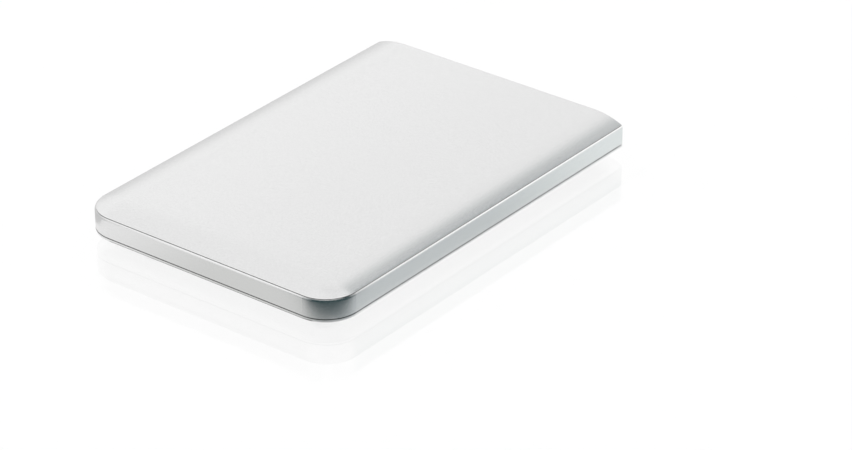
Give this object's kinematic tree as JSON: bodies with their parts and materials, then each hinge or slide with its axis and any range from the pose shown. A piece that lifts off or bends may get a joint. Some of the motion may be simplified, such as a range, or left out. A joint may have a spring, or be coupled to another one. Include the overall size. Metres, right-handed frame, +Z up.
{
  "type": "portable external hard drive",
  "caption": "Slim silver portable hard drive: a crowned metal slab with round front corners, a fine seam, a rear data port, and a spindle and head arm inside.",
  "frame": {"origin": "under the middle of the casing, on the surface that the feet stand on", "axes": "+X across the casing, +Y from the rounded front to the port end, +Z up"},
  "size_m": [0.079, 0.116, 0.0106],
  "materials": {
    "casing_metal": "satin silver, very fine grain",
    "foot_rubber": "matt black",
    "screw_steel": "plain steel",
    "light_pipe_clear": "milky clear",
    "board_laminate": "green solder mask",
    "chip_resin": "moulded black resin",
    "crystal_can": "pressed metal lid",
    "lamp_lens": "clear lens",
    "port_steel": "plated sheet",
    "socket_resin": "moulded black",
    "contact_gold": "gold plated",
    "cushion_rubber": "soft dark rubber",
    "pad_foam": "grey closed-cell foam",
    "drive_casting": "die cast",
    "cover_sheet": "pressed sheet",
    "seal_rubber": "black gasket",
    "bearing_bronze": "turned bronze",
    "core_steel": "stacked laminations",
    "winding_copper": "enamelled copper wire",
    "hub_metal": "turned",
    "magnet_nickel": "nickel plated",
    "disc_mirror": "polished",
    "arm_metal": "machined",
    "suspension_steel": "thin spring sheet",
    "slider_ceramic": "dark ceramic",
    "yoke_steel": "nickel plated plate",
    "ramp_resin": "natural resin",
    "filter_felt": "white felt"
  },
  "bodies": {
    "casing": {"top_shell": "casing_metal", "bottom_cover": "casing_metal", "foot_front_left": "foot_rubber", "foot_front_right": "foot_rubber", "foot_rear_left": "foot_rubber", "foot_rear_right": "foot_rubber", "cover_screws": "screw_steel", "bridge_board": "board_laminate", "board_screws": "screw_steel", "bridge_chip": "chip_resin", "bridge_flash": "chip_resin", "bridge_crystal": "crystal_can", "status_lamp": "lamp_lens", "light_pipe": "light_pipe_clear", "port_shell": "port_steel", "port_tongue": "socket_resin", "port_contacts": "contact_gold", "drive_socket": "socket_resin", "drive_socket_contacts": "contact_gold", "side_cushion_left": "cushion_rubber", "side_cushion_right": "cushion_rubber", "front_cushion": "cushion_rubber", "upper_pad": "pad_foam", "lower_pad": "pad_foam", "drive_base": "drive_casting", "drive_cover": "cover_sheet", "cover_seal": "seal_rubber", "drive_cover_screws": "screw_steel", "logic_board": "board_laminate", "logic_board_screws": "screw_steel", "controller_chip": "chip_resin", "buffer_memory": "chip_resin", "motor_driver": "chip_resin", "drive_plug": "socket_resin", "drive_plug_contacts": "contact_gold", "bearing_sleeve": "bearing_bronze", "stator_core": "core_steel", "stator_windings": "winding_copper", "pivot_post": "hub_metal", "lower_yoke": "yoke_steel", "lower_magnet": "magnet_nickel", "upper_yoke": "yoke_steel", "upper_magnet": "magnet_nickel", "yoke_posts": "yoke_steel", "head_ramp": "ramp_resin", "breather_filter": "filter_felt", "flex_bracket": "socket_resin"},
    "spindle": {"spindle_hub": "hub_metal", "rotor_magnet": "magnet_nickel", "platter": "disc_mirror", "disc_clamp": "hub_metal", "clamp_screw": "screw_steel"},
    "head_arm": {"pivot_sleeve": "hub_metal", "arm_block": "arm_metal", "voice_coil": "winding_copper", "upper_suspension": "suspension_steel", "lower_suspension": "suspension_steel", "upper_slider": "slider_ceramic", "lower_slider": "slider_ceramic"}
  },
  "joints": [
    {"name": "spindle_turn", "type": "hinge", "parent": "casing", "child": "spindle", "pos_m": [0, -0.0181, 0.00675], "axis": [0, 0, 1], "continuous": true},
    {"name": "arm_swing", "type": "hinge", "parent": "casing", "child": "head_arm", "pos_m": [0.012, 0.02058, 0.00675], "axis": [0, 0, 1], "range_deg": [0, 34]}
  ]
}
